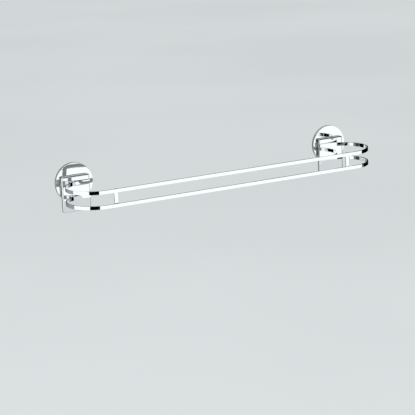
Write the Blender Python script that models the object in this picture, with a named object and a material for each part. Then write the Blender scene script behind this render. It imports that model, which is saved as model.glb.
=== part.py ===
"""Double towel rail: two loops of flat chrome strip, one above the other, hung on two suction mounts.

Metres, +Z up, +X to the right as seen from the room. The origin is on the wall plane, halfway between
the two mounts, and the room is at -Y. Depths are distances from the wall towards the room, so a depth
d lies at y = -d. Each mount's turned pieces have their origin on the mount's axis.
"""

import math

import bmesh
import bpy

# The whole rail
MOUNT_SPACING = 0.450
CLEARANCE = 0.0003
SIDES = {"left": -1, "right": 1}

# Loops of flat strip
STRIP_HEIGHT = 0.0057
STRIP_THICKNESS = 0.002
END_RADIUS = 0.0435
END_INSET = 0.0115
LEG_LENGTH = 0.0105
UPPER_LOOP_Z = 0.0
LOOP_PITCH = 0.022
END_STEPS = 16

# Links between the front bars of the loops
LINK_WIDTH = 0.006
LINK_THICKNESS = 0.0015
LINK_INSET = 0.0255

# Cover disc
COVER_RADIUS = 0.030
COVER_DEPTH = 0.0055
COVER_WALL = 0.001
COVER_EDGE_RADIUS = 0.0015
COVER_STANDOFF = 0.0008
COVER_STEPS = 40
SMALL_STEPS = 24

# Suction cup, drawn pulled tight
LIP_RADIUS = 0.0283
LIP_INNER_RADIUS = 0.0240
LIP_THICKNESS = 0.0012
BOSS_RADIUS = 0.0105
BOSS_BACK = 0.0017
BOSS_FRONT = 0.0041
MEMBRANE_THICKNESS = 0.0009

# Stud, moulded into the cup
STUD_RADIUS = 0.0035
STUD_END = 0.0081
FLANGE_RADIUS = 0.006
FLANGE_BACK = 0.0026
FLANGE_THICKNESS = 0.0008

# Pressure shell
SHELL_WALL = 0.0008
SHELL_SKIRT = 0.003
SHELL_EYE_RADIUS = 0.0115

# Slip washer and hub nut
WASHER_HOLE_RADIUS = 0.0120
WASHER_RADIUS = 0.0170
WASHER_THICKNESS = 0.0005
NECK_RADIUS = 0.005
NUT_HEAD_RADIUS = 0.0075
NUT_HEAD_LENGTH = 0.0016
NUT_CHAMFER = 0.0004

# Hook plate
PLATE_WIDTH = 0.0396
PLATE_THICKNESS = 0.0012
PLATE_TOP = 0.0093
PLATE_BOTTOM = -0.0410
PLATE_CORNER = 0.003
KEYHOLE_DROP = 0.014
ENTRY_RADIUS = 0.0082

# Holder tray
TRAY_WIDTH = 0.0455
TRAY_TOP = 0.011
TRAY_BOTTOM = -0.0435
TRAY_FRONT = 0.0109
TRAY_WALL = 0.0012
TRAY_RIM = 0.0059
TRAY_CORNER = 0.001

# Screws from the hook plate into the holder tray
SCREW_RADIUS = 0.0015
SCREW_HEAD_RADIUS = 0.0028
SCREW_X = 0.0145
SCREW_Z = -0.020
SCREW_LENGTH = 0.0031
PILLAR_RADIUS = 0.0032

# Depths that follow from the stack inside the disc and between the disc and the tray
COVER_INSIDE = COVER_DEPTH - COVER_WALL
WASHER_FRONT = COVER_INSIDE - CLEARANCE
WASHER_BACK = WASHER_FRONT - WASHER_THICKNESS
SHELL_FRONT = WASHER_BACK - CLEARANCE
NUT_BACK = COVER_DEPTH + CLEARANCE
PLATE_BACK = NUT_BACK + CLEARANCE
PLATE_FRONT = PLATE_BACK + PLATE_THICKNESS
NUT_HEAD_BACK = PLATE_FRONT + CLEARANCE
NUT_FRONT = NUT_HEAD_BACK + NUT_HEAD_LENGTH
FLANGE_FRONT = FLANGE_BACK + FLANGE_THICKNESS
LEG_DEPTH = TRAY_FRONT + CLEARANCE + STRIP_THICKNESS / 2
BAR_DEPTH = LEG_DEPTH + 2 * END_RADIUS

CHROME = {"color": (0.86, 0.87, 0.88), "metallic": 1.0, "roughness": 0.06}
STEEL = {"color": (0.62, 0.62, 0.63), "metallic": 1.0, "roughness": 0.32}
RUBBER = {"color": (0.60, 0.63, 0.64), "metallic": 0.0, "roughness": 0.55}
PLASTIC = {"color": (0.84, 0.85, 0.85), "metallic": 0.0, "roughness": 0.45}
NYLON = {"color": (0.90, 0.89, 0.85), "metallic": 0.0, "roughness": 0.50}


def clear_scene():
    for obj in list(bpy.data.objects):
        bpy.data.objects.remove(obj, do_unlink=True)


def finish_material(name, finish):
    """A Principled material of the piece's own."""
    material = bpy.data.materials.new(name)
    material.use_nodes = True
    shader = material.node_tree.nodes["Principled BSDF"]
    shader.inputs["Base Color"].default_value = (*finish["color"], 1.0)
    shader.inputs["Metallic"].default_value = finish["metallic"]
    shader.inputs["Roughness"].default_value = finish["roughness"]
    material.diffuse_color = (*finish["color"], 1.0)
    return material


def object_from(bm, name, finish=None, smooth=False):
    """Links the bmesh as an object with its own material, or as a bare cutter when it has no finish."""
    bmesh.ops.recalc_face_normals(bm, faces=bm.faces)
    mesh = bpy.data.meshes.new(name)
    bm.to_mesh(mesh)
    bm.free()
    if smooth:
        mesh.shade_smooth()
        mesh.set_sharp_from_angle(angle=math.radians(30))
    obj = bpy.data.objects.new(name, mesh)
    bpy.context.collection.objects.link(obj)
    if finish is not None:
        mesh.materials.append(finish_material(name, finish))
    return obj


def turned(name, profile, finish=None, steps=SMALL_STEPS):
    """Spins a profile of (radius, depth) points about the mount's axis. A profile that ends on the axis
    at both ends closes itself there, and any other is closed from its last point to its first."""
    bm = bmesh.new()
    points = [bm.verts.new((radius, 0, depth)) for radius, depth in profile]
    edges = [bm.edges.new(pair) for pair in zip(points, points[1:])]
    if profile[0][0] > 0 or profile[-1][0] > 0:
        edges.append(bm.edges.new((points[-1], points[0])))
    bmesh.ops.spin(
        bm, geom=points + edges, axis=(0, 0, 1), cent=(0, 0, 0), angle=2 * math.pi, steps=steps, use_merge=True
    )
    bmesh.ops.remove_doubles(bm, verts=bm.verts, dist=1e-6)
    return object_from(bm, name, finish, smooth=True)


def arc(centre, radius, start, end, steps):
    """Points on an arc in a profile or outline, with angles in degrees and both ends included."""
    angles = [math.radians(start + (end - start) * step / steps) for step in range(steps + 1)]
    return [(centre[0] + radius * math.cos(a), centre[1] + radius * math.sin(a)) for a in angles]


def rounded_rectangle(half_width, low, high, corner, steps=4):
    """A closed outline about x = 0 from z = low to z = high, with rounded corners."""
    right, left = half_width - corner, corner - half_width
    bottom, top = low + corner, high - corner
    return (
        arc((right, bottom), corner, -90, 0, steps)
        + arc((right, top), corner, 0, 90, steps)
        + arc((left, top), corner, 90, 180, steps)
        + arc((left, bottom), corner, 180, 270, steps)
    )


def prism(name, outline, back, front, finish=None):
    """Extrudes an outline of (x, z) points from one depth to another, in the frame of a mount."""
    bm = bmesh.new()
    face = bm.faces.new([bm.verts.new((x, z, back)) for x, z in outline])
    made = bmesh.ops.extrude_face_region(bm, geom=[face])
    moved = [v for v in made["geom"] if isinstance(v, bmesh.types.BMVert)]
    bmesh.ops.translate(bm, verts=moved, vec=(0, 0, front - back))
    return object_from(bm, name, finish)


def combine(target, other, operation):
    """Cuts or unites with a helper that is never drawn."""
    other.hide_render = True
    other.display_type = "WIRE"
    other.parent = target
    modifier = target.modifiers.new(operation.lower(), "BOOLEAN")
    modifier.operation = operation
    modifier.solver = "EXACT"
    modifier.object = other


def place(obj, mount):
    """Hangs a piece on its mount's empty, whose local Z is the depth from the wall."""
    obj.parent = mount
    return obj


def mount_frame(side):
    mount = bpy.data.objects.new(f"{side}_mount_frame", None)
    mount.empty_display_size = COVER_RADIUS
    mount.location = (SIDES[side] * MOUNT_SPACING / 2, 0, 0)
    mount.rotation_euler = (math.pi / 2, 0, 0)
    bpy.context.collection.objects.link(mount)
    return mount


def suction_cup(side):
    """Soft cup with a flat lip on the wall and a boss that holds the stud's flange in a pocket."""
    pocket_radius = FLANGE_RADIUS + CLEARANCE
    neck_radius = STUD_RADIUS + CLEARANCE
    pocket_back = FLANGE_BACK - CLEARANCE
    pocket_front = FLANGE_FRONT + CLEARANCE
    middle_radius = 0.6 * LIP_INNER_RADIUS + 0.4 * BOSS_RADIUS
    middle_back = 0.55 * BOSS_BACK
    boss_root = BOSS_BACK + MEMBRANE_THICKNESS
    profile = [
        (0, pocket_back),
        (pocket_radius, pocket_back),
        (pocket_radius, pocket_front),
        (neck_radius, pocket_front),
        (neck_radius, BOSS_FRONT),
        (BOSS_RADIUS, BOSS_FRONT),
        (BOSS_RADIUS, boss_root),
        (middle_radius, middle_back + MEMBRANE_THICKNESS),
        (LIP_INNER_RADIUS + 0.001, LIP_THICKNESS),
        (LIP_RADIUS - 0.0003, LIP_THICKNESS),
        (LIP_RADIUS, LIP_THICKNESS - 0.0003),
        (LIP_RADIUS, 0),
        (LIP_INNER_RADIUS, 0),
        (middle_radius, middle_back),
        (BOSS_RADIUS, BOSS_BACK),
        (0, BOSS_BACK),
    ]
    return turned(f"{side}_suction_cup", profile, RUBBER, COVER_STEPS)


def stud(side):
    profile = [
        (0, FLANGE_BACK),
        (FLANGE_RADIUS, FLANGE_BACK),
        (FLANGE_RADIUS, FLANGE_FRONT),
        (STUD_RADIUS, FLANGE_FRONT),
        (STUD_RADIUS, STUD_END - NUT_CHAMFER),
        (STUD_RADIUS - NUT_CHAMFER, STUD_END),
        (0, STUD_END),
    ]
    return turned(f"{side}_stud", profile, STEEL)


def pressure_shell(side):
    """Ring that stands still in the turning disc and presses the cup's lip on the wall."""
    outer = COVER_RADIUS - COVER_WALL - CLEARANCE
    bevel = COVER_EDGE_RADIUS / 2
    profile = [
        (SHELL_EYE_RADIUS, SHELL_FRONT),
        (outer - bevel, SHELL_FRONT),
        (outer, SHELL_FRONT - bevel),
        (outer, LIP_THICKNESS + CLEARANCE),
        (outer - SHELL_SKIRT, LIP_THICKNESS + CLEARANCE),
        (outer - SHELL_SKIRT, SHELL_FRONT - SHELL_WALL),
        (SHELL_EYE_RADIUS, SHELL_FRONT - SHELL_WALL),
    ]
    return turned(f"{side}_pressure_shell", profile, PLASTIC, COVER_STEPS)


def cover_disc(side):
    """Round dished cover with a rounded front edge and a hole for the stud. It turns with the hub nut."""
    hole = STUD_RADIUS + CLEARANCE
    corner = (COVER_RADIUS - COVER_EDGE_RADIUS, COVER_DEPTH - COVER_EDGE_RADIUS)
    profile = (
        [(hole, COVER_DEPTH)]
        + arc(corner, COVER_EDGE_RADIUS, 90, 0, 4)
        + [(COVER_RADIUS, COVER_STANDOFF), (COVER_RADIUS - COVER_WALL, COVER_STANDOFF)]
        + arc(corner, COVER_EDGE_RADIUS - COVER_WALL, 0, 90, 3)
        + [(hole, COVER_INSIDE)]
    )
    return turned(f"{side}_cover_disc", profile, CHROME, COVER_STEPS)


def slip_washer(side):
    """Thin ring that lets the disc turn on the pressure shell."""
    profile = [
        (WASHER_HOLE_RADIUS, WASHER_FRONT),
        (WASHER_RADIUS, WASHER_FRONT),
        (WASHER_RADIUS, WASHER_BACK),
        (WASHER_HOLE_RADIUS, WASHER_BACK),
    ]
    return turned(f"{side}_slip_washer", profile, NYLON, COVER_STEPS)


def hub_nut(side):
    """Nut with a blind thread, fixed to the disc: its neck carries the hook plate and its head keeps it on."""
    bore = STUD_RADIUS + CLEARANCE
    profile = [
        (0, STUD_END + CLEARANCE),
        (bore, STUD_END + CLEARANCE),
        (bore, NUT_BACK),
        (NECK_RADIUS, NUT_BACK),
        (NECK_RADIUS, NUT_HEAD_BACK),
        (NUT_HEAD_RADIUS, NUT_HEAD_BACK),
        (NUT_HEAD_RADIUS, NUT_FRONT - NUT_CHAMFER),
        (NUT_HEAD_RADIUS - NUT_CHAMFER, NUT_FRONT),
        (0, NUT_FRONT),
    ]
    return turned(f"{side}_hub_nut", profile, STEEL)


def keyhole_outline():
    """A slot that fits the nut's neck, with its seat on the mount's axis and a wide entry below it."""
    slot = NECK_RADIUS + CLEARANCE
    mouth = math.degrees(math.asin(slot / ENTRY_RADIUS))
    seat = arc((0, 0), slot, 0, 180, SMALL_STEPS // 2)
    entry = arc((0, -KEYHOLE_DROP), ENTRY_RADIUS, 90 + mouth, 450 - mouth, SMALL_STEPS)
    return seat + entry


def hook_plate(side):
    """Steel plate with a keyhole for the nut's neck and two countersunk holes."""
    outline = rounded_rectangle(PLATE_WIDTH / 2, PLATE_BOTTOM, PLATE_TOP, PLATE_CORNER)
    plate = prism(f"{side}_hook_plate", outline, PLATE_BACK, PLATE_FRONT, STEEL)
    combine(plate, prism(f"{side}_keyhole", keyhole_outline(), 0, TRAY_FRONT), "DIFFERENCE")
    for sign in SIDES.values():
        hole = turned(f"{side}_countersink", countersunk_profile(CLEARANCE, TRAY_WALL), None, 16)
        hole.location = (sign * SCREW_X, SCREW_Z, 0)
        combine(plate, hole, "DIFFERENCE")
    return plate


def countersunk_profile(grow, overrun):
    """A countersunk screw grown by a clearance. With an overrun, its head runs on past the plate's back."""
    tip = PLATE_BACK + SCREW_LENGTH + grow
    profile = [(0, tip), (SCREW_RADIUS + grow, tip), (SCREW_RADIUS + grow, PLATE_FRONT)]
    profile.append((SCREW_HEAD_RADIUS + grow, PLATE_BACK))
    if overrun:
        profile.append((SCREW_HEAD_RADIUS + grow, PLATE_BACK - overrun))
    return profile + [(0, PLATE_BACK - overrun)]


def plate_screws(side, mount):
    """One screw on each side of the keyhole, with its head flush in the back of the plate."""
    for name, sign in SIDES.items():
        screw = turned(f"{side}_plate_screw_{name}", countersunk_profile(0, 0), STEEL, 16)
        screw.location = (sign * SCREW_X, SCREW_Z, 0)
        place(screw, mount)


def holder_tray(side):
    """Dished plate, open towards the wall, with two pillars for the screws of the hook plate."""
    outside = rounded_rectangle(TRAY_WIDTH / 2, TRAY_BOTTOM, TRAY_TOP, TRAY_CORNER)
    inside = rounded_rectangle(
        TRAY_WIDTH / 2 - TRAY_WALL, TRAY_BOTTOM + TRAY_WALL, TRAY_TOP - TRAY_WALL, TRAY_CORNER / 2
    )
    tray = prism(f"{side}_holder_tray", outside, TRAY_RIM, TRAY_FRONT, CHROME)
    combine(tray, prism(f"{side}_tray_hollow", inside, 0, TRAY_FRONT - TRAY_WALL), "DIFFERENCE")
    pillar_back = PLATE_FRONT + CLEARANCE
    pillar_root = TRAY_FRONT - TRAY_WALL / 2
    pillar = [(0, pillar_back), (PILLAR_RADIUS, pillar_back), (PILLAR_RADIUS, pillar_root), (0, pillar_root)]
    for sign in SIDES.values():
        post = turned(f"{side}_tray_pillar", pillar, None, 16)
        post.location = (sign * SCREW_X, SCREW_Z, 0)
        combine(tray, post, "UNION")
        thread = turned(f"{side}_tray_thread", countersunk_profile(CLEARANCE, TRAY_WALL), None, 16)
        thread.location = (sign * SCREW_X, SCREW_Z, 0)
        combine(tray, thread, "DIFFERENCE")
    return tray


def loop_path(offset):
    """The strip's line in plan, as (x, depth) points from the left leg's end to the right one's. The
    offset is towards the outside of the loop."""
    centre_x = MOUNT_SPACING / 2 - END_INSET
    centre_depth = LEG_DEPTH + END_RADIUS
    radius = END_RADIUS + offset
    leg = (LEG_LENGTH - centre_x, LEG_DEPTH - offset)
    left_end = arc((-centre_x, centre_depth), radius, 270, 90, END_STEPS)
    right_end = arc((centre_x, centre_depth), radius, 90, -90, END_STEPS)
    return [leg] + left_end + right_end + [(-leg[0], leg[1])]


def loop(name, centre_z):
    """Flat strip on edge, bent into a long C that opens towards the wall."""
    bm = bmesh.new()
    low, high = centre_z - STRIP_HEIGHT / 2, centre_z + STRIP_HEIGHT / 2
    outer, inner = loop_path(STRIP_THICKNESS / 2), loop_path(-STRIP_THICKNESS / 2)
    rings = []
    for (outer_x, outer_depth), (inner_x, inner_depth) in zip(outer, inner):
        corners = [(outer_x, outer_depth, low), (outer_x, outer_depth, high)]
        corners += [(inner_x, inner_depth, high), (inner_x, inner_depth, low)]
        rings.append([bm.verts.new((x, -depth, z)) for x, depth, z in corners])
    for ring, following in zip(rings, rings[1:]):
        for corner in range(4):
            after = (corner + 1) % 4
            bm.faces.new((ring[corner], ring[after], following[after], following[corner]))
    bm.faces.new(rings[0])
    bm.faces.new(rings[-1])
    return object_from(bm, name, CHROME, smooth=True)


def link(side):
    """Upright strip across the backs of both front bars."""
    front = BAR_DEPTH - STRIP_THICKNESS / 2 - CLEARANCE
    top = UPPER_LOOP_Z + STRIP_HEIGHT / 2
    bottom = UPPER_LOOP_Z - LOOP_PITCH - STRIP_HEIGHT / 2
    outline = rounded_rectangle(LINK_WIDTH / 2, bottom, top, TRAY_CORNER)
    strip = prism(f"{side}_link", outline, front - LINK_THICKNESS, front, CHROME)
    strip.location = (SIDES[side] * (MOUNT_SPACING / 2 - LINK_INSET), 0, 0)
    strip.rotation_euler = (math.pi / 2, 0, 0)
    return strip


def suction_mount(side):
    mount = mount_frame(side)
    for piece in (suction_cup, stud, pressure_shell, cover_disc, slip_washer, hub_nut, hook_plate, holder_tray):
        place(piece(side), mount)
    plate_screws(side, mount)


def main():
    clear_scene()
    loop("upper_loop", UPPER_LOOP_Z)
    loop("lower_loop", UPPER_LOOP_Z - LOOP_PITCH)
    for side in SIDES:
        link(side)
        suction_mount(side)


main()
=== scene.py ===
"""Looks of the double towel rail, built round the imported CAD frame.

Metres, +Z up, the wall plane at y = 0 and the room at -Y. A mount's turned and pressed pieces are modelled
in the mount's own frame, whose Z is the depth from the wall, and then set upright on the mount's axis.
"""

import math

import bmesh
import bpy
from mathutils import Matrix, Vector

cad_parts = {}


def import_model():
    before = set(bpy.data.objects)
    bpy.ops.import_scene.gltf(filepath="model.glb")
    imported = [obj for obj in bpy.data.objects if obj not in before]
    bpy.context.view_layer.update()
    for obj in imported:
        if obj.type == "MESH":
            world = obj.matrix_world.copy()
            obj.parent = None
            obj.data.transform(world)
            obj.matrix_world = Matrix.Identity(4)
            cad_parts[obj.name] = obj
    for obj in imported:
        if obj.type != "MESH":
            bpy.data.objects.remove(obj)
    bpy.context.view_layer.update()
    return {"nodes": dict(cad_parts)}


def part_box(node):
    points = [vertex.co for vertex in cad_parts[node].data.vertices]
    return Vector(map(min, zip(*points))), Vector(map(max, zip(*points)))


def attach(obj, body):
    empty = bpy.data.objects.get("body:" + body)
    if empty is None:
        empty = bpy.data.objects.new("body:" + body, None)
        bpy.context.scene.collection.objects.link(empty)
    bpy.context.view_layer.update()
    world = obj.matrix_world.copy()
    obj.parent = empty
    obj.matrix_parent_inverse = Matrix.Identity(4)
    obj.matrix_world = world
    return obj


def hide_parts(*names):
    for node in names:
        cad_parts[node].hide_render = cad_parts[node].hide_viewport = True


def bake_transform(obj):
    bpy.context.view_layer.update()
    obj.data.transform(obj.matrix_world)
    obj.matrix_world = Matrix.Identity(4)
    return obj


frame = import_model()

SIDES = ("left", "right")

# Sizes that the frame's boxes don't give, in metres, and how many knurls and grooves there are
STRIP_THICKNESS = 0.002
CLEARANCE = 0.0003
EDGE = 0.0003
WELD_INSET = 0.0006
LEG_WELD_INSET = 0.0005
LEG_WELD_REACH = 0.002
LINK_CORNER = 0.001
SHEET = 0.0012
DISC_WALL = 0.001
DISC_EDGE_RADIUS = 0.0015
DISC_DISH = 0.0005
STUD_RADIUS = 0.0035
THREAD_PITCH = 0.002
THREAD_DEPTH = 0.0004
THREAD_CHAMFER = 0.0004
FLANGE_RADIUS = 0.006
FLANGE_THICKNESS = 0.0008
FLANGE_EDGE = 0.0002
NUT_NECK_RADIUS = 0.005
NUT_KNURLS = 40
NUT_KNURL_DEPTH = 0.00022
KEYHOLE_DROP = 0.014
ENTRY_RADIUS = 0.0082
PLATE_CORNER = 0.003
PLATE_EDGE = 0.00015
SCREW_X = 0.0145
SCREW_Z = -0.020
SCREW_RADIUS = 0.0015
SCREW_HEAD_RADIUS = 0.0028
SCREW_PLAY = 0.0002
SCREW_TAPER = 0.0003
SOCKET_RADIUS = 0.0011
SOCKET_DEPTH = 0.0009
PILLAR_RADIUS = 0.0032
PILLAR_FLARE = 0.0003
TRAY_EDGE_RADIUS = 0.0022
TRAY_CORNER = 0.0026
LIP_INNER_RADIUS = 0.0240
LIP_THICKNESS = 0.0012
MEMBRANE = 0.0009
BOSS_RADIUS = 0.0105
BOSS_BACK = 0.0017
CUP_GROOVES = 6
CUP_GROOVE_DEPTH = 0.00022
CUP_GROOVE_HALF_WIDTH = 0.0004
SHELL_EYE_RADIUS = 0.0115
SHELL_WALL = 0.0008
SHELL_SKIRT = 0.003
WASHER_HOLE_RADIUS = 0.0120
WASHER_EDGE = 0.00012

# Steps round full turns, the loops' bends and small corners, and along the stud's thread
ROUND_STEPS = 160
FINE_STEPS = 96
BEND_STEPS = 72
CORNER_STEPS = 8
THREAD_STEPS = 48

# Edges that turn by more than these angles in degrees are shaded sharp, and rounded
SHARP_ANGLE = 32
ROUNDING_ANGLE = 50

# Camera, aimed a little below the middle of the rail: metres, degrees, and the lens in millimetres
CAMERA_TARGET = (-0.0267, -0.05, -0.0605)
CAMERA_DISTANCE = 2.2545
CAMERA_AZIMUTH = -27.6
CAMERA_ELEVATION = 13.32
CAMERA_ROLL = -2.63
CAMERA_LENS = 127.4

FLOOR_Z = -0.8
FLOOR_SIZE = 60.0

# The cards that the chrome reflects: the far ones' distance and heights, the azimuth that parts the dark one
# at the left from the white one, and the brightnesses
FAR_CARDS = 2.5
FAR_LOW = -0.79
FAR_HIGH = 0.53
CEILING = 6.0
FLAG_AZIMUTH = -14.5
WHITE = 1.16
BOUNCE = 0.76
DIM = 0.06
BLACK = 0.0

# Painted light and shade of the wall behind the rail, as (x, brightness) steps from left to right, for the
# glowing card that only the chrome mirrors; the dark steps are painted shade
WALL_LIGHT_AND_SHADE = [
    (-1.5, 0.36),
    (-0.29, 0.36),
    (-0.27, 0.24),
    (0.08, 0.26),
    (0.11, 0.05),
    (0.185, 0.05),
    (0.19, 0.3),
    (0.27, 0.3),
    (0.28, 0.0),
    (1.5, 0.0),
]


# ---------------------------------------------------------------- meshes


def object_from(bm, name, material, matrix=None):
    """Links a bmesh as a piece with one material. The matrix places it in the frame."""
    bmesh.ops.recalc_face_normals(bm, faces=bm.faces)
    mesh = bpy.data.meshes.new(name)
    bm.to_mesh(mesh)
    bm.free()
    smooth_shade(mesh)
    mesh.materials.append(material)
    obj = bpy.data.objects.new(name, mesh)
    bpy.context.scene.collection.objects.link(obj)
    if matrix is not None:
        obj.matrix_world = matrix
    flatten_shading(obj)
    return obj


def smooth_shade(mesh):
    """Smooth shading that stays sharp at hard edges."""
    mesh.shade_smooth()
    mesh.set_sharp_from_angle(angle=math.radians(SHARP_ANGLE))


def flatten_shading(piece):
    """Lets large flat faces reflect as true flats, with the shading's turn left to the rounded edges."""
    modifier = piece.modifiers.new("weighted_normals", "WEIGHTED_NORMAL")
    modifier.mode = "FACE_AREA"
    modifier.weight = 100
    modifier.keep_sharp = True


def wall_matrix(x, z=0.0):
    """Frame at a point of the wall: local X along the wall, local Y up and local Z the depth from it."""
    return Matrix.Translation((x, 0, z)) @ Matrix.Rotation(math.pi / 2, 4, "X")


def mount_matrix(side, x=0.0, z=0.0):
    """The wall's frame on a mount's axis, or at an offset from it."""
    low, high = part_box(f"{side}_cover_disc")
    centre = (low + high) / 2
    return wall_matrix(centre.x + x, centre.z + z)


def depths(node):
    """The depths from the wall between which a CAD node lies."""
    low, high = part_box(node)
    return -high.y, -low.y


def arc(centre, radius, start, end, steps):
    """Points on an arc, with angles in degrees and both ends included."""
    angles = [math.radians(start + (end - start) * step / steps) for step in range(steps + 1)]
    return [(centre[0] + radius * math.cos(a), centre[1] + radius * math.sin(a)) for a in angles]


def filleted(corners, steps=5):
    """A closed profile of (radius, depth, fillet) corners, with each corner rounded by its own fillet."""
    points = []
    for index, (x, y, fillet) in enumerate(corners):
        here = Vector((x, y))
        if fillet == 0:
            points.append((x, y))
            continue
        before = Vector(corners[index - 1][:2]) - here
        after = Vector(corners[(index + 1) % len(corners)][:2]) - here
        half = before.angle(after) / 2
        reach = min(fillet / math.tan(half), 0.49 * before.length, 0.49 * after.length)
        start, end = before.normalized() * reach, after.normalized() * reach
        centre = (start + end).normalized() * (reach / math.cos(half))
        for step in range(steps + 1):
            spoke = (start - centre).lerp(end - centre, step / steps).normalized()
            points.append(tuple(here + centre + spoke * (reach * math.tan(half))))
    return points


def turned(name, profile, material, matrix, steps=ROUND_STEPS):
    """Spins a closed profile of (radius, depth) points about the local Z axis."""
    bm = bmesh.new()
    rings = []
    for radius, depth in profile:
        count = 1 if radius < 1e-7 else steps
        angles = [2 * math.pi * step / steps for step in range(count)]
        rings.append([bm.verts.new((radius * math.cos(a), radius * math.sin(a), depth)) for a in angles])
    open_ends = len(rings[0]) == 1 and len(rings[-1]) == 1
    pairs = list(zip(rings, rings[1:] + rings[:1]))
    for ring, following in pairs[:-1] if open_ends else pairs:
        bridge(bm, ring, following, steps)
    return object_from(bm, name, material, matrix)


def bridge(bm, ring, following, steps):
    """Faces between two rings of a turned piece, either of which may be a single point on the axis."""
    for step in range(steps):
        after = (step + 1) % steps
        corners = [ring[step % len(ring)], ring[after % len(ring)]]
        corners += [following[after % len(following)], following[step % len(following)]]
        distinct = list(dict.fromkeys(corners))
        if len(distinct) > 2:
            bm.faces.new(distinct)


def rounded_rectangle(half_width, low, high, corner):
    """A closed outline about x = 0 from z = low to z = high, with rounded corners."""
    right, left = half_width - corner, corner - half_width
    bottom, top = low + corner, high - corner
    return (
        arc((right, bottom), corner, -90, 0, CORNER_STEPS)
        + arc((right, top), corner, 0, 90, CORNER_STEPS)
        + arc((left, top), corner, 90, 180, CORNER_STEPS)
        + arc((left, bottom), corner, 180, 270, CORNER_STEPS)
    )


def lofted(name, outlines, material, matrix):
    """Skins outlines of (x, z, depth) points that all have as many points, and caps both ends."""
    bm = bmesh.new()
    rings = [[bm.verts.new(point) for point in outline] for outline in outlines]
    for ring, following in zip(rings, rings[1:]):
        for index in range(len(ring)):
            after = (index + 1) % len(ring)
            bm.faces.new((ring[index], ring[after], following[after], following[index]))
    bm.faces.new(rings[0])
    bm.faces.new(rings[-1])
    return object_from(bm, name, material, matrix)


def slab(name, outline, back, front, material, matrix, edge=EDGE):
    """A flat piece with the given (x, z) outline and slightly rounded edges."""
    piece = lofted(name, [[(x, z, depth) for x, z in outline] for depth in (back, front)], material, matrix)
    if edge:
        round_edges(piece, edge)
    return piece


def round_edges(piece, width, segments=3):
    """Rounds a piece's hard edges, before its shading is flattened."""
    bevel = piece.modifiers.new("rounded_edges", "BEVEL")
    bevel.width = width
    bevel.segments = segments
    bevel.limit_method = "ANGLE"
    bevel.angle_limit = math.radians(ROUNDING_ANGLE)
    piece.modifiers.move(len(piece.modifiers) - 1, 0)


def cut(piece, cutter):
    """Cuts a helper out of a piece and removes the helper."""
    modifier = piece.modifiers.new("cut", "BOOLEAN")
    modifier.operation = "DIFFERENCE"
    modifier.solver = "EXACT"
    modifier.object = cutter
    graph = bpy.context.evaluated_depsgraph_get()
    mesh = bpy.data.meshes.new_from_object(piece.evaluated_get(graph))
    piece.modifiers.clear()
    piece.data = mesh
    flatten_shading(piece)
    bpy.data.objects.remove(cutter)


def reshape(piece, scale_at):
    """Scales each vertex of a turned piece across its axis by scale_at(radius, angle, depth)."""
    for vertex in piece.data.vertices:
        radius = math.hypot(vertex.co.x, vertex.co.y)
        scale = scale_at(radius, math.atan2(vertex.co.y, vertex.co.x), vertex.co.z)
        vertex.co.x *= scale
        vertex.co.y *= scale


# ---------------------------------------------------------------- materials


def new_material(name):
    """A new material, with its node tree and its shader."""
    material = bpy.data.materials.new(name)
    material.use_nodes = True
    return material, material.node_tree, material.node_tree.nodes["Principled BSDF"]


def noise(tree, scale, detail=4.0, stretch=(1, 1, 1)):
    """Noise over the piece's own coordinates, in metres, with a scale along each axis."""
    nodes, links = tree.nodes, tree.links
    coordinates = nodes.new("ShaderNodeTexCoord")
    mapping = nodes.new("ShaderNodeMapping")
    mapping.inputs["Scale"].default_value = stretch
    texture = nodes.new("ShaderNodeTexNoise")
    texture.inputs["Scale"].default_value = scale
    texture.inputs["Detail"].default_value = detail
    links.new(coordinates.outputs["Object"], mapping.inputs["Vector"])
    links.new(mapping.outputs["Vector"], texture.inputs["Vector"])
    return texture.outputs["Fac"]


def ramp(tree, value, low, high, start=0.35, end=0.65):
    """A colour or grey ramp over a value."""
    node = tree.nodes.new("ShaderNodeValToRGB")
    node.color_ramp.elements[0].position = start
    node.color_ramp.elements[1].position = end
    for element, shade in zip(node.color_ramp.elements, (low, high)):
        element.color = (*shade, 1) if isinstance(shade, tuple) else (shade, shade, shade, 1)
    tree.links.new(value, node.inputs["Fac"])
    return node.outputs["Color"]


def bump(tree, shader, height, strength, distance):
    """Bump from a height between 0 and 1, which stands for a distance in metres."""
    node = tree.nodes.new("ShaderNodeBump")
    node.inputs["Strength"].default_value = strength
    node.inputs["Distance"].default_value = distance
    tree.links.new(height, node.inputs["Height"])
    tree.links.new(node.outputs["Normal"], shader.inputs["Normal"])


def chrome(name, tint=(0.90, 0.91, 0.92)):
    """Bright plated chrome: a faint mottle in the plating, and light smears that dull it here and there."""
    material, tree, shader = new_material(name)
    shader.inputs["Metallic"].default_value = 1.0
    darker = tuple(0.975 * channel for channel in tint)
    tree.links.new(ramp(tree, noise(tree, 60), darker, tint), shader.inputs["Base Color"])
    smears = noise(tree, 35, detail=6.0, stretch=(1, 1, 2.5))
    smears = ramp(tree, smears, 0.025, 0.055, start=0.45, end=0.75)
    tree.links.new(smears, shader.inputs["Roughness"])
    bump(tree, shader, noise(tree, 45, detail=2.0), strength=0.05, distance=0.00005)
    return material


def brushed_steel(name, tint=(0.60, 0.60, 0.61), grain=(1, 40, 1), roughness=(0.24, 0.38)):
    """Stainless or plated steel with a fine grain along one axis of the piece."""
    material, tree, shader = new_material(name)
    shader.inputs["Metallic"].default_value = 1.0
    lines = noise(tree, 90, detail=5.0, stretch=grain)
    darker = tuple(0.86 * channel for channel in tint)
    tree.links.new(ramp(tree, lines, darker, tint, start=0.3, end=0.7), shader.inputs["Base Color"])
    tree.links.new(ramp(tree, lines, *roughness, start=0.3, end=0.7), shader.inputs["Roughness"])
    bump(tree, shader, lines, strength=0.12, distance=0.00003)
    return material


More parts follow.
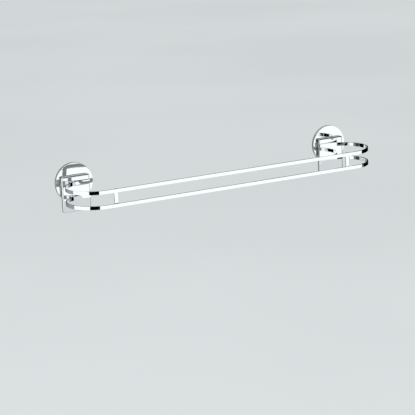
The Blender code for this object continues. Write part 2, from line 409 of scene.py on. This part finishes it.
def soft_rubber(name):
    """Pale grey, slightly translucent rubber with a faint cloudiness."""
    material, tree, shader = new_material(name)
    cloud = noise(tree, 70, detail=3.0)
    tree.links.new(ramp(tree, cloud, (0.52, 0.56, 0.58), (0.62, 0.66, 0.67)), shader.inputs["Base Color"])
    tree.links.new(ramp(tree, noise(tree, 240, detail=3.0), 0.32, 0.46), shader.inputs["Roughness"])
    shader.inputs["Subsurface Weight"].default_value = 0.25
    shader.inputs["Subsurface Radius"].default_value = (0.004, 0.004, 0.004)
    shader.inputs["Subsurface Scale"].default_value = 1.0
    bump(tree, shader, noise(tree, 500, detail=2.0), strength=0.08, distance=0.00004)
    return material


def moulded_plastic(name, tint, roughness=(0.38, 0.5)):
    """Moulded plastic with a fine spark-eroded texture."""
    material, tree, shader = new_material(name)
    darker = tuple(0.94 * channel for channel in tint)
    tree.links.new(ramp(tree, noise(tree, 55), darker, tint), shader.inputs["Base Color"])
    tree.links.new(ramp(tree, noise(tree, 130), *roughness), shader.inputs["Roughness"])
    bump(tree, shader, noise(tree, 1400, detail=2.0), strength=0.2, distance=0.00004)
    return material


def make_materials():
    """The finishes, by the names of the record's material slots, and the welds' own."""
    return {
        "loop_chrome": chrome("loop_chrome"),
        "link_chrome": chrome("link_chrome"),
        "tray_chrome": chrome("tray_chrome", (0.88, 0.89, 0.90)),
        "disc_chrome": chrome("disc_chrome", (0.88, 0.89, 0.90)),
        "plate_steel": brushed_steel("plate_steel"),
        "screw_steel": brushed_steel("screw_steel", (0.58, 0.58, 0.58), (6, 6, 6)),
        "stud_steel": brushed_steel("stud_steel", (0.58, 0.58, 0.59), (1, 1, 30)),
        "nut_steel": brushed_steel("nut_steel", (0.64, 0.64, 0.65), (1, 1, 30)),
        "washer_nylon": moulded_plastic("washer_nylon", (0.85, 0.84, 0.78)),
        "shell_plastic": moulded_plastic("shell_plastic", (0.78, 0.79, 0.79)),
        "cup_rubber": soft_rubber("cup_rubber"),
        "weld": brushed_steel("weld", (0.70, 0.70, 0.70), (4, 4, 4), (0.2, 0.35)),
    }


# ---------------------------------------------------------------- rail


def strip_path(offset, node):
    """The strip's line in plan as (x, depth) points, moved by an offset towards the outside of the loop."""
    low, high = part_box(node)
    leg_depth = -high.y + STRIP_THICKNESS / 2
    bar_depth = -low.y - STRIP_THICKNESS / 2
    radius = (bar_depth - leg_depth) / 2
    centre_x = high.x - STRIP_THICKNESS / 2 - radius
    centre_depth = (leg_depth + bar_depth) / 2
    leg_end = leg_end_x(node)
    left = arc((-centre_x, centre_depth), radius + offset, 270, 90, BEND_STEPS)
    right = arc((centre_x, centre_depth), radius + offset, 90, -90, BEND_STEPS)
    return [(-leg_end, leg_depth - offset)] + left + right + [(leg_end, leg_depth - offset)]


def leg_end_x(node):
    """How far from the middle the loop's legs end, measured on the CAD node."""
    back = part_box(node)[1].y
    on_wall_side = [v.co for v in frame["nodes"][node].data.vertices if v.co.y > back - STRIP_THICKNESS / 2]
    return min(abs(co.x) for co in on_wall_side)


def loop(level, materials):
    """Flat strip on edge, bent into a long C, with its corners broken."""
    node = f"{level}_loop"
    low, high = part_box(node)
    outer, inner = strip_path(STRIP_THICKNESS / 2, node), strip_path(-STRIP_THICKNESS / 2, node)
    sections = [
        [(out_x, -out, low.z), (out_x, -out, high.z), (in_x, -within, high.z), (in_x, -within, low.z)]
        for (out_x, out), (in_x, within) in zip(outer, inner)
    ]
    piece = lofted(f"{level}_rail_loop", sections, materials["loop_chrome"], Matrix.Identity(4))
    round_edges(piece, EDGE)
    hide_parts(node)
    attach(piece, "rail")


def link(side, materials):
    """Upright strip across the backs of both front bars."""
    node = f"{side}_link"
    low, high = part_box(node)
    back, front = depths(node)
    half = (high.x - low.x) / 2
    outline = rounded_rectangle(half, low.z, high.z, LINK_CORNER)
    matrix = wall_matrix((low.x + high.x) / 2)
    piece = slab(f"{side}_bar_link", outline, back, front, materials["link_chrome"], matrix)
    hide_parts(node)
    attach(piece, "rail")
    for level in ("upper", "lower"):
        bar_low, bar_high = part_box(f"{level}_loop")
        pad_low, pad_high = bar_low.z + WELD_INSET, bar_high.z - WELD_INSET
        pad = rounded_rectangle(half - WELD_INSET, pad_low, pad_high, 0.8 * LINK_CORNER)
        weld = slab(f"{side}_{level}_link_weld", pad, front, front + CLEARANCE, materials["weld"], matrix, 0)
        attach(weld, "rail")


def leg_weld(side, level, materials):
    """Braze that fills the joint between a leg of the loop and the holder tray."""
    bar_low, bar_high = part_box(f"{level}_loop")
    sign = -1 if side == "left" else 1
    inner = leg_end_x(f"{level}_loop")
    bend_x = abs(strip_path(0, f"{level}_loop")[1][0])
    outer = bend_x + LEG_WELD_REACH
    half = (outer - inner) / 2 - LEG_WELD_INSET
    matrix = wall_matrix(sign * (inner + outer) / 2)
    weld_low, weld_high = bar_low.z + LEG_WELD_INSET, bar_high.z - LEG_WELD_INSET
    outline = rounded_rectangle(half, weld_low, weld_high, 2 * LEG_WELD_INSET)
    front = depths(f"{side}_holder_tray")[1]
    weld = slab(f"{side}_{level}_leg_weld", outline, front, front + CLEARANCE, materials["weld"], matrix, 0)
    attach(weld, "rail")


def holder_tray(side, materials):
    """Pressed tray with rounded edges, open towards the wall, and a threaded boss for each plate screw."""
    node = f"{side}_holder_tray"
    low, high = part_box(node)
    rim, front = depths(node)
    half = (high.x - low.x) / 2

    def ring(inset, depth):
        corner = max(TRAY_CORNER - inset, EDGE)
        outline = rounded_rectangle(half - inset, low.z + inset, high.z - inset, corner)
        return [(x, z, depth) for x, z in outline]

    inner_radius = TRAY_EDGE_RADIUS - SHEET
    floor_depth = front - SHEET
    inner_bend = arc((SHEET + inner_radius, floor_depth - inner_radius), inner_radius, 90, 180, 3)
    lip = arc((SHEET / 2, rim + SHEET / 2), SHEET / 2, 0, -180, 8)
    outer_bend = arc((TRAY_EDGE_RADIUS, front - TRAY_EDGE_RADIUS), TRAY_EDGE_RADIUS, 180, 90, 12)
    rings = [ring(inset, depth) for inset, depth in inner_bend + lip + outer_bend]
    piece = lofted(f"{side}_rail_tray", rings, materials["tray_chrome"], mount_matrix(side))
    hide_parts(node)
    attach(piece, "rail")
    boss_back = depths(f"{side}_hook_plate")[1] + CLEARANCE
    hole = SCREW_RADIUS + 0.0001
    profile = filleted(
        [
            (hole, floor_depth, 0),
            (PILLAR_RADIUS + PILLAR_FLARE, floor_depth, 0),
            (PILLAR_RADIUS, floor_depth - 0.0004, 0.0002),
            (PILLAR_RADIUS, boss_back, 0.0002),
            (hole, boss_back, 0.0001),
        ]
    )
    for name, sign in (("left", -1), ("right", 1)):
        matrix = mount_matrix(side, sign * SCREW_X, SCREW_Z)
        boss = turned(f"{side}_tray_boss_{name}", profile, materials["tray_chrome"], matrix, FINE_STEPS)
        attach(boss, "rail")


def keyhole_outline():
    """Slot for the nut's neck, with its seat on the axis and the wide entry below it."""
    slot = NUT_NECK_RADIUS + CLEARANCE
    mouth = math.degrees(math.asin(slot / ENTRY_RADIUS))
    seat = arc((0, 0), slot, 0, 180, FINE_STEPS // 2)
    return seat + arc((0, -KEYHOLE_DROP), ENTRY_RADIUS, 90 + mouth, 450 - mouth, FINE_STEPS)


def hook_plate(side, materials):
    """Steel plate with a keyhole for the nut's neck and a countersunk hole on each side of it."""
    node = f"{side}_hook_plate"
    low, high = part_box(node)
    back, front = depths(node)
    matrix = mount_matrix(side)
    steel = materials["plate_steel"]
    outline = rounded_rectangle((high.x - low.x) / 2, low.z, high.z, PLATE_CORNER)
    piece = slab(f"{side}_keyhole_plate", outline, back, front, steel, matrix, 0)
    cut(piece, slab("keyhole", keyhole_outline(), back - SHEET, front + SHEET, steel, matrix, 0))
    profile = [
        (0, back - SHEET),
        (SCREW_HEAD_RADIUS + SCREW_PLAY, back - SHEET),
        (SCREW_HEAD_RADIUS + SCREW_PLAY, back),
        (SCREW_RADIUS + SCREW_PLAY, front),
        (SCREW_RADIUS + SCREW_PLAY, front + SHEET),
        (0, front + SHEET),
    ]
    for sign in (-1, 1):
        screw_matrix = mount_matrix(side, sign * SCREW_X, SCREW_Z)
        cut(piece, turned("countersink", profile, steel, screw_matrix, FINE_STEPS))
    smooth_shade(piece.data)
    round_edges(piece, PLATE_EDGE, 2)
    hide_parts(node)
    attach(piece, "rail")


def plate_screw(side, name, sign, materials):
    """Countersunk screw with a hexagon socket, its head flush in the back of the hook plate."""
    node = f"{side}_plate_screw_{name}"
    back, tip = depths(node)
    cone_end = depths(f"{side}_hook_plate")[1]
    profile = [
        (0, back + SOCKET_DEPTH),
        (SOCKET_RADIUS, back + SOCKET_DEPTH),
        (SOCKET_RADIUS, back),
        (SCREW_HEAD_RADIUS - 0.00005, back),
        (SCREW_HEAD_RADIUS, back + 0.0001),
        (SCREW_RADIUS, cone_end),
        (SCREW_RADIUS, tip - SCREW_TAPER),
        (SCREW_RADIUS - SCREW_TAPER, tip),
        (0, tip),
    ]
    matrix = mount_matrix(side, sign * SCREW_X, SCREW_Z)
    piece = turned(f"{side}_csk_screw_{name}", profile, materials["screw_steel"], matrix, FINE_STEPS)

    def hexagon(radius, angle, _):
        if not 0 < radius < 1.01 * SOCKET_RADIUS:
            return 1
        return math.cos(math.pi / 6) / math.cos(angle % (math.pi / 3) - math.pi / 6)

    reshape(piece, hexagon)
    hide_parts(node)
    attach(piece, "rail")


# ---------------------------------------------------------------- suction mounts


def cover_disc(side, materials):
    """Dished disc with a rounded front edge, a thin back rim and a slightly raised centre land."""
    node = f"{side}_cover_disc"
    low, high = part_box(node)
    rim, front = depths(node)
    radius = (high.x - low.x) / 2
    hole = STUD_RADIUS + CLEARANCE
    inside = front - DISC_WALL
    land = NUT_NECK_RADIUS + 0.0012
    profile = filleted(
        [
            (hole, front, 0.0001),
            (land, front, 0.0002),
            (land + 0.0008, front - DISC_DISH, 0.0004),
            (radius - DISC_EDGE_RADIUS / 2, front, DISC_EDGE_RADIUS / 2),
            (radius, front, DISC_EDGE_RADIUS),
            (radius, rim, 0.0003),
            (radius - DISC_WALL, rim, 0.0003),
            (radius - DISC_WALL, inside, 0.0006),
            (hole, inside, 0.0001),
        ],
        10,
    )
    matrix = mount_matrix(side)
    piece = turned(f"{side}_turning_disc", profile, materials["disc_chrome"], matrix, 2 * ROUND_STEPS)
    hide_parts(node)
    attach(piece, f"{side}_hub_body")
    collar = filleted(
        [
            (hole, front, 0),
            (NUT_NECK_RADIUS + 0.0002, front, 0),
            (NUT_NECK_RADIUS - 0.0002, front + CLEARANCE, 0),
            (hole, front + CLEARANCE, 0),
        ]
    )
    weld = turned(f"{side}_hub_weld", collar, materials["weld"], matrix, FINE_STEPS)
    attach(weld, f"{side}_hub_body")


def hub_nut(side, materials):
    """Nut with a blind bore, a smooth neck and a knurled head."""
    node = f"{side}_hub_nut"
    low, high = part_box(node)
    back, front = depths(node)
    head_radius = (high.x - low.x) / 2
    head_back = depths(f"{side}_hook_plate")[1] + CLEARANCE
    bore = STUD_RADIUS + CLEARANCE / 2
    bore_end = depths(f"{side}_stud")[1] + CLEARANCE
    outside = filleted(
        [
            (bore, back, 0.0001),
            (NUT_NECK_RADIUS, back, 0.0001),
            (NUT_NECK_RADIUS, head_back, 0.0002),
            (head_radius, head_back, 0.0003),
            (head_radius, front, 0.0004),
            (0, front, 0),
        ]
    )
    profile = [(0, bore_end), (bore, bore_end)] + outside
    piece = turned(f"{side}_knurled_nut", profile, materials["nut_steel"], mount_matrix(side), NUT_KNURLS * 8)

    def knurled(radius, angle, _):
        if radius <= head_radius - 0.0002:
            return 1
        wave = 0.5 - 0.5 * math.cos(NUT_KNURLS * angle)
        return 1 - NUT_KNURL_DEPTH * wave / radius

    reshape(piece, knurled)
    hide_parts(node)
    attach(piece, f"{side}_hub_body")


def stud(side, materials):
    """Stud with a flange and a rolled thread, whose crests keep the CAD stud's radius."""
    node = f"{side}_stud"
    back, end = depths(node)
    flange_front = back + FLANGE_THICKNESS
    thread_start = flange_front + THREAD_CHAMFER
    thread_end = end - THREAD_CHAMFER
    profile = [(0, back)]
    profile += arc((FLANGE_RADIUS - FLANGE_EDGE, back + FLANGE_EDGE), FLANGE_EDGE, -90, 0, 3)
    profile += arc((FLANGE_RADIUS - FLANGE_EDGE, flange_front - FLANGE_EDGE), FLANGE_EDGE, 0, 90, 3)
    profile += [(STUD_RADIUS, flange_front)]
    for step in range(THREAD_STEPS + 1):
        profile.append((STUD_RADIUS, thread_start + (thread_end - thread_start) * step / THREAD_STEPS))
    profile += [(STUD_RADIUS - THREAD_CHAMFER, end), (0, end)]
    piece = turned(f"{side}_threaded_stud", profile, materials["stud_steel"], mount_matrix(side), FINE_STEPS)

    def threaded(radius, angle, depth):
        if abs(radius - STUD_RADIUS) >= 1e-6 or not thread_start < depth < thread_end:
            return 1
        phase = depth / THREAD_PITCH - angle / (2 * math.pi)
        groove = THREAD_DEPTH * min(1.0, 3 * abs((phase % 1) - 0.5))
        run_in = (depth - thread_start) / THREAD_CHAMFER
        run_out = (thread_end - depth) / THREAD_CHAMFER
        return 1 - (THREAD_DEPTH - groove) * min(1.0, run_in, run_out) / radius

    reshape(piece, threaded)
    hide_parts(node)
    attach(piece, f"{side}_stud_body")


def pressure_shell(side, materials):
    """Ring that stands still inside the turning disc and presses on the cup's lip."""
    node = f"{side}_pressure_shell"
    low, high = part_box(node)
    back, front = depths(node)
    outer = (high.x - low.x) / 2
    profile = filleted(
        [
            (SHELL_EYE_RADIUS, front, 0.0002),
            (outer, front, 0.0007),
            (outer, back, 0.0003),
            (outer - SHELL_SKIRT, back, 0.0004),
            (outer - SHELL_SKIRT, front - SHELL_WALL, 0.0003),
            (SHELL_EYE_RADIUS, front - SHELL_WALL, 0.0002),
        ]
    )
    piece = turned(f"{side}_pressure_ring", profile, materials["shell_plastic"], mount_matrix(side))
    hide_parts(node)
    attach(piece, "root")


def slip_washer(side, materials):
    """Thin flat ring between the pressure ring and the turning disc."""
    node = f"{side}_slip_washer"
    low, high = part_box(node)
    back, front = depths(node)
    outer = (high.x - low.x) / 2
    corners = [(WASHER_HOLE_RADIUS, front), (outer, front), (outer, back), (WASHER_HOLE_RADIUS, back)]
    profile = filleted([(radius, depth, WASHER_EDGE) for radius, depth in corners])
    piece = turned(f"{side}_slip_ring", profile, materials["washer_nylon"], mount_matrix(side))
    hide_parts(node)
    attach(piece, "root")


def suction_cup(side, materials):
    """Cup with a flat sealing lip, fine rings moulded in its hollow, and a boss round the stud's flange."""
    node = f"{side}_suction_cup"
    low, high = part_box(node)
    lip_radius = (high.x - low.x) / 2
    boss_front = -low.y
    flange_back = depths(f"{side}_stud")[0]
    flange_front = flange_back + FLANGE_THICKNESS
    middle = 0.6 * LIP_INNER_RADIUS + 0.4 * BOSS_RADIUS
    pocket = FLANGE_RADIUS + 0.0001
    neck = STUD_RADIUS + CLEARANCE / 2
    outside = [
        (neck, boss_front, 0.0003),
        (BOSS_RADIUS, boss_front, 0.0008),
        (BOSS_RADIUS, BOSS_BACK + MEMBRANE, 0.0008),
        (middle, 0.55 * BOSS_BACK + MEMBRANE, 0.003),
        (LIP_INNER_RADIUS + 0.001, LIP_THICKNESS, 0.001),
        (lip_radius, LIP_THICKNESS, 0.0003),
        (lip_radius, 0, 0.0001),
    ]
    rings = [(LIP_INNER_RADIUS, 0, 0.0006)]
    for groove in range(1, CUP_GROOVES + 1):
        share = groove / (CUP_GROOVES + 1)
        radius = LIP_INNER_RADIUS + (BOSS_RADIUS - LIP_INNER_RADIUS) * share
        depth = BOSS_BACK * (1 - (1 - share) ** 1.6)
        rings.append((radius + CUP_GROOVE_HALF_WIDTH, depth, 0.0002))
        rings.append((radius, depth - CUP_GROOVE_DEPTH, 0.0002))
        rings.append((radius - CUP_GROOVE_HALF_WIDTH, depth, 0.0002))
    inside = rings + [(BOSS_RADIUS, BOSS_BACK, 0.0006), (0, BOSS_BACK, 0)]
    pocket_side = [(0, flange_back - 0.0001, 0), (pocket, flange_back - 0.0001, 0.0001)]
    pocket_side += [(pocket, flange_front + 0.0001, 0.0001), (neck, flange_front + 0.0001, 0)]
    profile = filleted(pocket_side + outside + inside, 4)
    piece = turned(f"{side}_rubber_cup", profile, materials["cup_rubber"], mount_matrix(side), 2 * FINE_STEPS)
    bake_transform(piece)
    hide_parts(node)


# ---------------------------------------------------------------- stage


def floor():
    """Large pale floor, well below the rail, that fills the background."""
    bm = bmesh.new()
    bmesh.ops.create_grid(bm, x_segments=1, y_segments=1, size=FLOOR_SIZE / 2)
    material, tree, shader = new_material("pale_floor")
    shade = ramp(tree, noise(tree, 0.6, detail=2.0), (0.70, 0.72, 0.72), (0.73, 0.75, 0.75))
    tree.links.new(shade, shader.inputs["Base Color"])
    shader.inputs["Roughness"].default_value = 0.9
    shader.inputs["Specular IOR Level"].default_value = 0.0
    plane = object_from(bm, "floor", material, Matrix.Translation((0, 0, FLOOR_Z)))


def world():
    """Soft even light from all round."""
    surroundings = bpy.data.worlds.new("studio")
    surroundings.use_nodes = True
    background = surroundings.node_tree.nodes["Background"]
    background.inputs["Color"].default_value = (0.93, 0.96, 0.97, 1)
    background.inputs["Strength"].default_value = 0.95
    bpy.context.scene.world = surroundings


def card(name, line, heights, shade):
    """Upright card along a line of (x, y) points that only reflections see: a soft box when bright, a flag
    when dark. The shade is a brightness, or a list of (x, brightness) steps from left to right."""
    bm = bmesh.new()
    columns = [[bm.verts.new((x, y, height)) for height in heights] for x, y in line]
    for column, following in zip(columns, columns[1:]):
        bm.faces.new((column[0], following[0], following[1], column[1]))
    material, tree, shader = new_material(name)
    shader.inputs["Base Color"].default_value = (0, 0, 0, 1)
    shader.inputs["Specular IOR Level"].default_value = 0.0
    shader.inputs["Emission Strength"].default_value = 1.0
    if isinstance(shade, list):
        shade_across(tree, shader, shade)
    else:
        shader.inputs["Emission Color"].default_value = cool(shade)
    panel = object_from(bm, name, material)
    panel.visible_camera = False
    panel.visible_diffuse = False
    panel.visible_shadow = False


def cool(brightness):
    """A slightly cool grey."""
    return (0.95 * brightness, brightness, brightness, 1)


def shade_across(tree, shader, steps):
    """Emission that changes along X, blended between (x, brightness) steps."""
    low, high = steps[0][0], steps[-1][0]
    coordinates = tree.nodes.new("ShaderNodeTexCoord")
    split = tree.nodes.new("ShaderNodeSeparateXYZ")
    across = tree.nodes.new("ShaderNodeMapRange")
    across.inputs["From Min"].default_value = low
    across.inputs["From Max"].default_value = high
    colours = tree.nodes.new("ShaderNodeValToRGB")
    stops = colours.color_ramp.elements
    while len(stops) < len(steps):
        stops.new(0.5)
    for stop, (x, brightness) in zip(stops, steps):
        stop.position = (x - low) / (high - low)
        stop.color = cool(brightness)
    tree.links.new(coordinates.outputs["Object"], split.inputs["Vector"])
    tree.links.new(split.outputs["X"], across.inputs["Value"])
    tree.links.new(across.outputs["Result"], colours.inputs["Fac"])
    tree.links.new(colours.outputs["Color"], shader.inputs["Emission Color"])


def far_line(start, end):
    """Points round the rail at the far cards' distance. Azimuth 0 faces its front and 90 its right end."""
    steps = max(2, round(abs(end - start) / 5))
    azimuths = [math.radians(start + (end - start) * step / steps) for step in range(steps + 1)]
    return [(FAR_CARDS * math.sin(azimuth), -FAR_CARDS * math.cos(azimuth)) for azimuth in azimuths]


def cards():
    """The far cards whiten the bars and blacken their ends. The near ones light and darken the legs, the
    insides of the bars and what the discs and trays mirror, and the last stands for the wall."""
    far_heights, near_heights = (FAR_LOW, FAR_HIGH), (-0.25, 0.2)
    card("front_softbox", far_line(FLAG_AZIMUTH, 80), far_heights, WHITE)
    card("front_flag", far_line(-90, FLAG_AZIMUTH), far_heights, BLACK)
    card("ceiling_flag", far_line(-90, 90), (FAR_HIGH, CEILING), DIM)
    card("left_softbox", [(-0.38, -0.219), (-0.40, 0.0)], near_heights, WHITE)
    card("right_flag", [(0.5, -0.212), (0.5, 0.0)], near_heights, BLACK)
    card("low_bounce", [(-0.22, -0.15), (0.42, -0.15)], (-0.15, -0.059), BOUNCE)
    # Glowing card with the wall's painted light and shade, seen only in the chrome: painted shade by the
    # right mount and past the right end
    card("wall_light_and_shade_card", [(-1.5, 0.002), (1.5, 0.002)], (-0.7, 0.7), WALL_LIGHT_AND_SHADE)


def key_light():
    """Large soft light high on the left, for the rubber, the plastic and the floor."""
    data = bpy.data.lights.new("key", "AREA")
    data.shape = "RECTANGLE"
    data.size = 2.5
    data.size_y = 2.0
    data.energy = 40
    lamp = bpy.data.objects.new("key", data)
    lamp.location = (-1.6, -2.0, 2.4)
    lamp.rotation_mode = "QUATERNION"
    lamp.rotation_quaternion = (-Vector(lamp.location)).to_track_quat("-Z", "Y")
    bpy.context.scene.collection.objects.link(lamp)


def camera():
    """Camera that looks at the rail from above and from the left, as the photograph does."""
    azimuth, elevation = math.radians(CAMERA_AZIMUTH), math.radians(CAMERA_ELEVATION)
    level = math.cos(elevation)
    back = Vector((math.sin(azimuth) * level, -math.cos(azimuth) * level, math.sin(elevation)))
    data = bpy.data.cameras.new("camera")
    data.lens = CAMERA_LENS
    data.clip_start = 0.05
    data.clip_end = 200
    viewer = bpy.data.objects.new("camera", data)
    viewer.location = Vector(CAMERA_TARGET) + back * CAMERA_DISTANCE
    viewer.rotation_mode = "QUATERNION"
    roll = Matrix.Rotation(math.radians(CAMERA_ROLL), 4, back).to_quaternion()
    viewer.rotation_quaternion = roll @ (-back).to_track_quat("-Z", "Y")
    bpy.context.scene.collection.objects.link(viewer)
    bpy.context.scene.camera = viewer
    bpy.context.scene.view_settings.view_transform = "Standard"


def rail(materials):
    """All that rides on the rail."""
    for level in ("upper", "lower"):
        loop(level, materials)
        for side in SIDES:
            leg_weld(side, level, materials)
    for side in SIDES:
        link(side, materials)
        holder_tray(side, materials)
        hook_plate(side, materials)
        plate_screw(side, "left", -1, materials)
        plate_screw(side, "right", 1, materials)


def suction_mounts(materials):
    """All that holds the rail to the wall."""
    for side in SIDES:
        for piece in (cover_disc, hub_nut, stud, pressure_shell, slip_washer, suction_cup):
            piece(side, materials)


def main():
    materials = make_materials()
    rail(materials)
    suction_mounts(materials)
    floor()
    world()
    cards()
    key_light()
    camera()


main()
